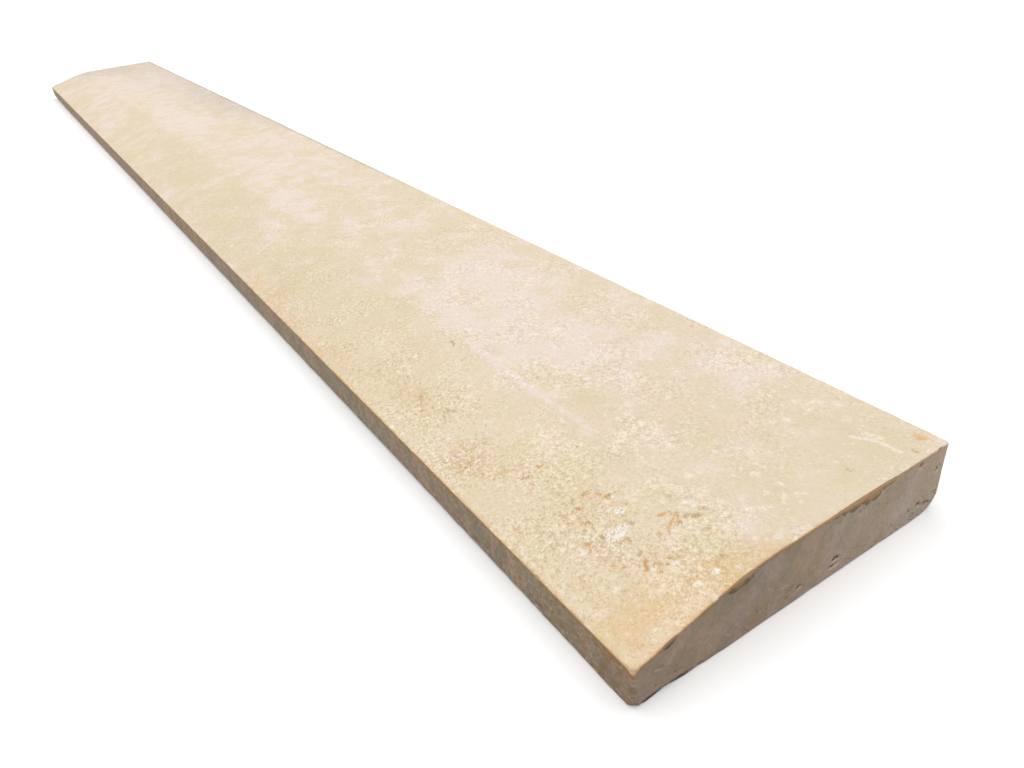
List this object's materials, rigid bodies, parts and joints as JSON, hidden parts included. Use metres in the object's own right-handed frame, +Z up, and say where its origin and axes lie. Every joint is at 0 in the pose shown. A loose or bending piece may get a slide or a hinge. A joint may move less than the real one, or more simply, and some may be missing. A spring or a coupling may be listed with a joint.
{
  "type": "door threshold",
  "caption": "Straight stone door threshold with a square full-thickness back edge and a long bevel down to a thin front edge.",
  "frame": {"origin": "centre of the footprint, on the underside", "axes": "+X along the length to the near end of the picture, +Y across to the thick back edge, +Z up"},
  "size_m": [0.9144, 0.1016, 0.02],
  "materials": {
    "honed_travertine": "honed top and bevel, sawn edges and underside"
  },
  "bodies": {
    "root": {"threshold": "honed_travertine"}
  },
  "joints": []
}
